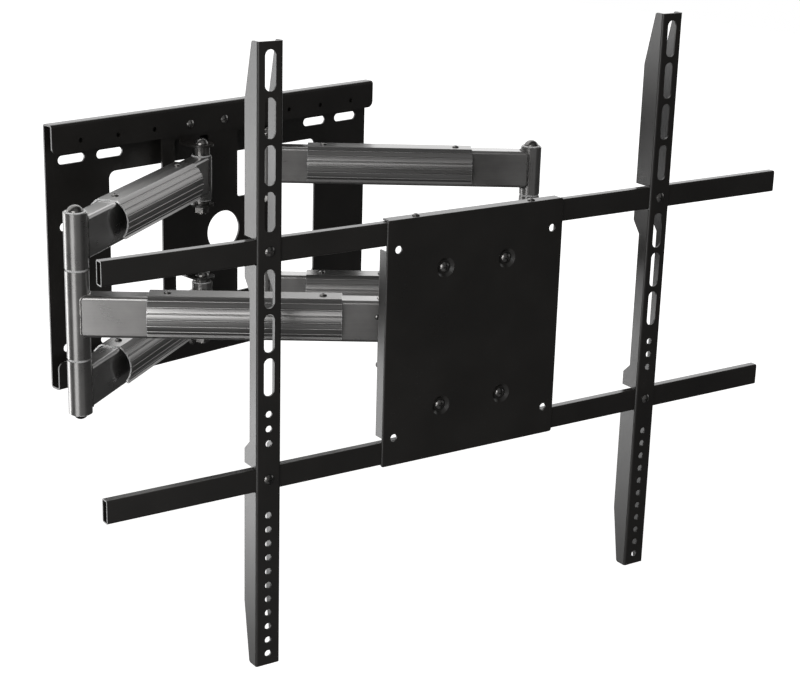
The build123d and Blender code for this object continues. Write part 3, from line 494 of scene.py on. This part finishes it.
def studio_world():
    """White to the camera. Mirror rays find a bright sweep at the back, a dark room in front
    that is lighter on the left, and a glow high on the right. Other rays find a soft light."""
    world = bpy.data.worlds.new("studio")
    bpy.context.scene.world = world
    look = Finish("studio", world)
    camera, mirror = seen_rays(look)
    toward = look.node("ShaderNodeTexCoord", output="Generated")
    across, back, up = [look.part(toward, letter) for letter in "XYZ"]
    sweep = (back.band(0.15, 0.50) * up.band(0.05, 0.35).between(SWEEP_FOOT, SWEEP_TOP)
             * across.band(-0.75, -0.50).between(SWEEP_LEFT_SHARE, 1.0) + ROOM)
    front_left = ((1.0 - across.band(0.20, 0.30)) * (1.0 - back.band(-0.3, 0.0))
                  * FRONT_LEFT)
    right_high = across.band(0.80, 0.95) * up.band(-0.08, 0.12) * RIGHT_GLOW
    strength = camera.at_least(mirror * (sweep + front_left + right_high))
    shown = look.node("ShaderNodeBackground", {}, {"Color": (1, 1, 1, 1),
                                                   "Strength": strength})
    soft = look.node("ShaderNodeBackground", {}, {"Color": (1, 0.99, 0.97, 1),
                                                  "Strength": SOFT_FILL})
    both = look.mixed(camera.at_least(mirror), soft, shown)
    look.node("ShaderNodeOutputWorld", {}, {"Surface": both})


def soft_box(name, place, aim, size, power, mirrored):
    """A rectangular lamp that points from its place to its aim."""
    lamp = bpy.data.lights.new(name, "AREA")
    lamp.shape, lamp.size, lamp.size_y, lamp.energy = "RECTANGLE", size[0], size[1], power
    holder = add_object(name, lamp)
    holder.location = place
    toward = Vector(aim) - Vector(place)
    holder.rotation_euler = toward.to_track_quat("-Z", "Y").to_euler()
    holder.visible_glossy = mirrored


def pale_floor():
    """A level sweep under and behind the mount. The camera sees it pale, with the mount's
    shadow; mirror rays find it dark in front and white at the back."""
    form = bmesh.new()
    bmesh.ops.create_grid(form, x_segments=1, y_segments=1, size=FLOOR_REACH)
    bmesh.ops.translate(form, verts=form.verts, vec=(0, FLOOR_BACK, FLOOR_Z))
    floor = add_object("floor", mesh_of(form, "floor"))
    look = Finish("pale_floor")
    camera, mirror = seen_rays(look)
    at = look.node("ShaderNodeTexCoord", output="Object")
    side, back = look.part(at, "X"), look.part(at, "Y")
    away = look.node("ShaderNodeVectorMath", {"operation": "LENGTH"}, {0: at}, output=1)
    matt = look.node("ShaderNodeBsdfDiffuse", {}, {"Color": (0.9, 0.9, 0.9, 1)})
    lift = look.glow(camera * away.band(2.0, 6.0).between(FLOOR_NEAR, 1.0))
    lit = look.node("ShaderNodeAddShader", {}, {0: matt, 1: lift})
    sweep = look.glow(back.band(0.8, 3.0) * side.band(-4.2, -2.8).between(FLOOR_LEFT, SWEEP_FOOT)
                      + ROOM)
    look.node("ShaderNodeOutputMaterial", {}, {"Surface": look.mixed(mirror, lit, sweep)})
    floor.data.materials.append(look.owner)


def photo_camera():
    """The camera at the photograph's place, turned by azimuth, elevation and roll."""
    a, e, r = radians(AZIMUTH), radians(ELEVATION), radians(ROLL)
    back = Vector((sin(a) * cos(e), -cos(a) * cos(e), sin(e)))
    right = Vector((cos(a), sin(a), 0.0))
    up = back.cross(right)
    right, up = right * cos(r) + up * sin(r), up * cos(r) - right * sin(r)
    view = bpy.data.cameras.new("photo_view")
    view.sensor_width, view.lens = SENSOR, SENSOR * FOCAL / IMAGE_WIDTH
    view.clip_start, view.clip_end = CLIP_NEAR, CLIP_FAR
    camera = add_object("photo_view", view)
    turn = Matrix((right, up, back)).transposed().to_4x4()
    camera.matrix_world = Matrix.Translation(CAMERA_PLACE) @ turn
    bpy.context.scene.camera = camera


studio_world()
for name, (place, aim, size, power, mirrored) in LAMPS.items():
    soft_box(name, place, aim, size, power, mirrored)
pale_floor()
photo_camera()
bpy.context.scene.view_settings.view_transform = "Standard"
